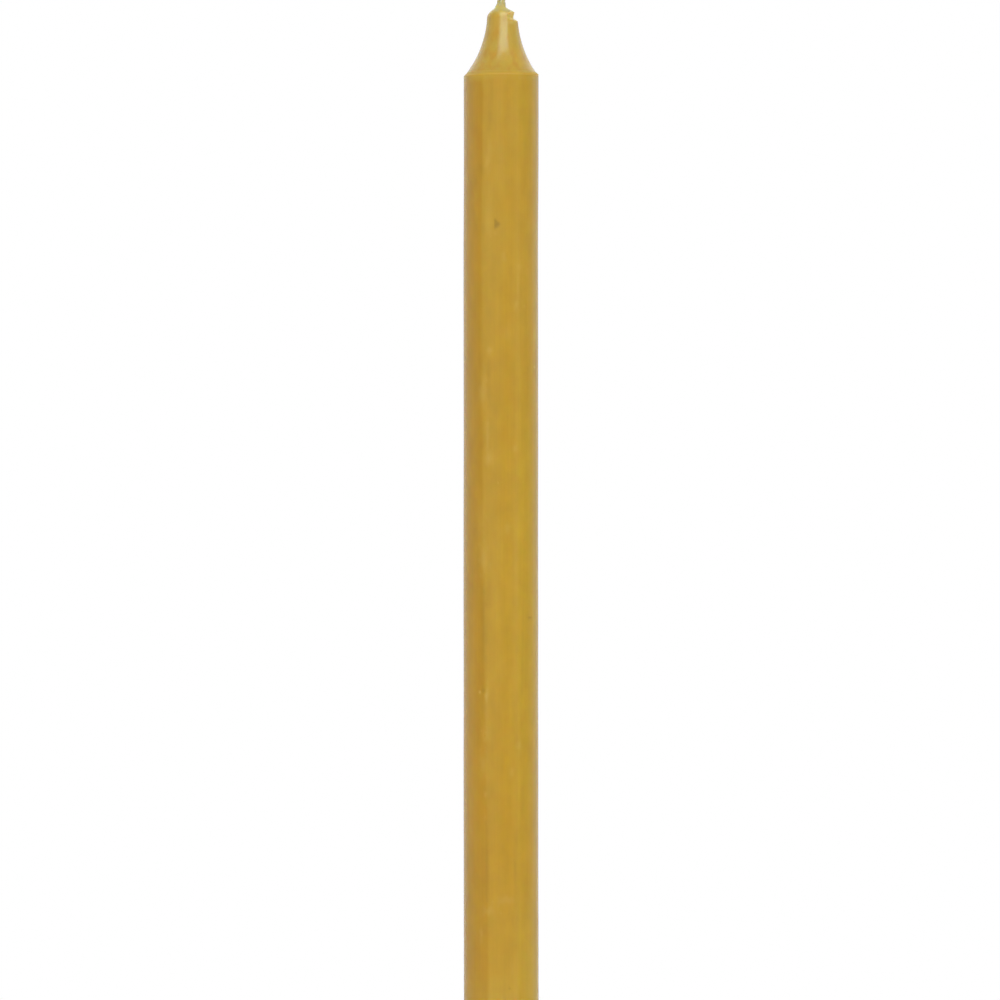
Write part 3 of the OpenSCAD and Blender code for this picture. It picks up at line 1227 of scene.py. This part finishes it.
    def _break_off(self, point: Vector, angle: float, bearing: float, reach: float) -> tuple[float, ...]:
        """Breaks the chip out of the nib at one point.

        Args:
            point: Place on the smooth skin.
            angle: Direction from +X towards +Y, in radians.
            bearing: Angle to the right of the front, in degrees.
            reach: Distance from the axis to the surface before the chip broke off.

        Returns:
            The distance that is left, the share of broken wax and the share of pale colour, which is painted
            highlight on the rim and along the break's edge, with the bruise spot.
        """
        gap = reach - self._chip_limit(angle, bearing, point.z)
        patchy = smooth(-0.45, 0.35, noise.noise(point / (0.9 * MM) + Vector((3.0, 0.0, 8.0))))
        highlight_and_bruise = (0.25 + 0.75 * patchy) * bell(gap, self.chip_highlight_width) * smooth(82.0, 60.0, abs(bearing - 90.0))
        # The rim spot and the pale band along the break's edge are painted highlights; the bruise is a
        # further pale spot below the rim.
        rim_highlight = self.rim_highlight.at(bearing, point.z - self.rim_top_z + self._cap_dip(bearing))
        pale = max(rim_highlight, self.bruise.at(bearing, point.z - self.rim_z), highlight_and_bruise)
        if gap <= 0.0:
            return reach, 0.0, pale
        grain = sum(share * noise.noise(point / size) for size, share in self.chip_grain_layers)
        broken = smooth(0.0, 0.10 * MM, gap)
        return reach - gap - self.chip_grain * grain * broken, broken, pale

    def _shape(self, skin: bmesh.types.BMesh) -> None:
        """Moves the spun skin's points to the real, uneven and chipped form, and paints its attributes."""
        names = ("marks_and_painted_light", "tone", "cast", "broken", "highlight_and_bruise", "film")
        layers = {name: skin.verts.layers.float.new(name) for name in names}
        for vert in skin.verts:
            x, y, z = vert.co
            radius = math.hypot(x, y)
            angle = math.atan2(y, x)
            bearing = math.degrees(math.atan2(x, -y))
            reach = radius
            paint: dict[str, float] = {}
            if z > self.wax_h + 0.01 * MM:
                level = (z - self.wax_h) / self.film_h
                if radius > 0.6 * self.bore_r:
                    z = self.wax_h + level * self.film_h * self._film_share(angle)
                    reach = self._film_reach(angle, z - self.wax_h, level)
                else:
                    z = self.wax_h + self.film_close_h
            elif radius > self.bore_r + 0.05 * MM and z > 0.5 * self.base_bevel:
                reach = self._worn_reach(vert.co, bearing, radius)
                paint = {"tone": self._tone_and_shade(bearing, z), "cast": self._cast(bearing, z)}
                if z < self.rim_z:
                    paint["marks_and_painted_light"] = sum(m.kind.tint * m.share(bearing, z) for m in marks_near(z))
                if z > self.rim_z - self.chip_drop:
                    reach, paint["broken"], paint["highlight_and_bruise"] = self._break_off(vert.co, angle, bearing, reach)
            if radius < self.nib_r:
                paint["film"] = smooth(self.wax_h - 1.6 * MM, self.wax_h + 0.6 * MM, z)
            for name, value in paint.items():
                vert[layers[name]] = value
            tilt = self.shoulder_tilt * window(self.shoulder_tilt_rise, z - self.shoulder_z)
            scale = reach / radius if radius > 0.0 else 1.0
            vert.co = (x * scale + centre_shift(z), y * scale, z + tilt * x / self.shaft_r)

    def build(self, finish: WaxFinish) -> bpy.types.Object:
        """Makes the wax piece.

        Args:
            finish: The wax finish to dress it in.

        Returns:
            The finished object.
        """
        skin = self._skin()
        self._shape(skin)
        piece = finish_piece(skin, "wax_column", finish.build(self.shoulder_z, self.rim_top_z))
        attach(piece, ROOT_BODY)
        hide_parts("wax_body")
        return piece


def ring_frame(path: Sequence[Vector], index: int) -> Matrix:
    """Place and turn of one ring of a sweep, square to its path.

    Args:
        path: Centres of the rings.
        index: Number of the ring.

    Returns:
        A matrix whose Z axis runs along the path.
    """
    ahead = path[min(index + 1, len(path) - 1)] - path[max(index - 1, 0)]
    along = ahead.normalized()
    side = Vector((0.0, 1.0, 0.0)).cross(along).normalized()
    turn = Matrix((side, along.cross(side), along)).transposed()
    return Matrix.Translation(path[index]) @ turn.to_4x4()


def finish_piece(mesh: bmesh.types.BMesh, name: str, material: bpy.types.Material) -> bpy.types.Object:
    """Turns a bmesh into a smooth, dressed object at the origin.

    Args:
        mesh: The mesh, which is freed.
        name: Name of the piece.
        material: Its material.

    Returns:
        The new object, linked to the scene.
    """
    for face in mesh.faces:
        face.smooth = True
    data = bpy.data.meshes.new(name)
    mesh.to_mesh(data)
    mesh.free()
    data.materials.append(material)
    data.set_sharp_from_angle(angle=SHARP_ANGLE)
    piece = bpy.data.objects.new(name, data)
    bpy.context.scene.collection.objects.link(piece)
    LOG.info("%s: %d points, %d faces", name, len(data.vertices), len(data.polygons))
    return piece


@dataclass
class Studio:
    """Camera, floor, lamps and surroundings."""

    mm_per_pixel: float = 0.2943 * MM
    image_px: float = 1000.0
    wax_top_px: float = 3.1
    axis_px: float = 501.0
    distance: float = 2.00
    sensor: float = 36.0
    room: tuple[Pair, ...] = (
        (-180.0, 0.74),
        (-135.0, 0.92),
        (-90.0, 0.88),
        (-65.0, 0.64),
        (-45.0, 0.90),
        (-22.0, 0.88),
        (15.0, 0.44),
        (55.0, 0.75),
        (90.0, 0.54),
        (115.0, 0.86),
        (135.0, 0.92),
        (180.0, 0.74),
    )
    room_level: float = 0.965
    ceiling_dim: float = 0.45
    softbox_level: float = 3.9
    softbox_sides: Pair = (-9.0, 38.0)
    softbox_heights: Pair = (9.0, 51.5)
    softbox_tilt: float = 0.16
    softbox_lean: float = 0.30
    back_glow: float = 0.55
    softbox_edge: float = 3.0
    floor_r: float = 0.70
    floor_z: float = -0.2 * MM

    def camera(self, wax_h: float) -> None:
        """Sets the camera level with the middle of the photograph's frame."""
        centre_px = self.image_px / 2.0
        height = wax_h - (centre_px - self.wax_top_px) * self.mm_per_pixel
        aside = (centre_px - self.axis_px) * self.mm_per_pixel
        data = bpy.data.cameras.new("photo_camera")
        data.sensor_width = self.sensor
        data.lens = self.sensor * self.distance / (self.image_px * self.mm_per_pixel)
        data.clip_start = 0.05
        data.clip_end = 50.0
        camera = bpy.data.objects.new("photo_camera", data)
        camera.location = (aside, -self.distance, height)
        camera.rotation_euler = (math.pi / 2.0, 0.0, 0.0)
        bpy.context.scene.collection.objects.link(camera)
        bpy.context.scene.camera = camera

    def surroundings(self) -> None:
        """White backdrop for the camera; for the light, a soft room and a softbox above the camera."""
        world = bpy.data.worlds.new("studio")
        bpy.context.scene.world = world
        bench = Bench(world)
        direction = bench.node("ShaderNodeTexCoord", output="Generated")
        x, y, z = (bench.part(direction, axis) for axis in "XYZ")
        degrees = 180.0 / math.pi
        bearing = bench.node("ShaderNodeMath", {"operation": "ARCTAN2"}, {0: x, 1: 0 - y}) * degrees
        elevation = bench.node("ShaderNodeMath", {"operation": "ARCSINE"}, {0: z}) * degrees
        room = bench.ramp(0.5 + bearing / 360.0, [(0.5 + side / 360.0, level) for side, level in self.room])
        room = room * (1 - self.ceiling_dim * z.eased(0.25, 0.8)) * self.room_level
        room = room * (1 + self.back_glow * y.eased(0.1, 0.6) * z.eased(0.12, 0.35))
        low, high, soft = *self.softbox_heights, self.softbox_edge
        top = high - self.softbox_tilt * bearing
        upright = elevation.eased(low - soft, low + soft) * (top - elevation).eased(-soft, soft)
        left, right = self.softbox_sides
        leaning = bearing + self.softbox_lean * elevation
        across = leaning.eased(left - soft, left + soft) * bearing.eased(right + soft, right - soft)
        softbox = across * upright
        level = room + self.softbox_level * softbox
        seen = bench.node("ShaderNodeLightPath", output="Is Camera Ray")
        strength = seen + (1 - seen) * level
        white = {"Color": (1.0, 1.0, 1.0, 1.0), "Strength": strength}
        bench.end("ShaderNodeOutputWorld", bench.node("ShaderNodeBackground", inputs=white))

    def floor(self, finish: FloorFinish) -> None:
        """Lays the pale floor under the candle."""
        disc = bmesh.new()
        bmesh.ops.create_circle(disc, cap_ends=True, segments=96, radius=self.floor_r)
        for vert in disc.verts:
            vert.co.z = self.floor_z
        finish_piece(disc, "floor", finish.build())

    def build(self, wax_h: float) -> None:
        """Makes the whole studio round a candle of this height."""
        self.camera(wax_h)
        self.surroundings()
        self.floor(FloorFinish())


def main() -> None:
    """Builds the candle and its studio."""
    logging.basicConfig(level=logging.INFO, format="%(name)s: %(message)s")
    _, wax_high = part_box("wax_body")
    _, wick_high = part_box("wick")
    wick = PlaitedWick(wax_h=wax_high.z, tip_z=wick_high.z)
    wick.build(WickFinish())
    column = WaxColumn(wick=wick, shaft_r=wax_high.x, wax_h=wax_high.z)
    column.build(WaxFinish())
    Studio().build(wax_high.z)
    bpy.context.scene.view_settings.view_transform = "Standard"


if __name__ == "__main__":
    main()
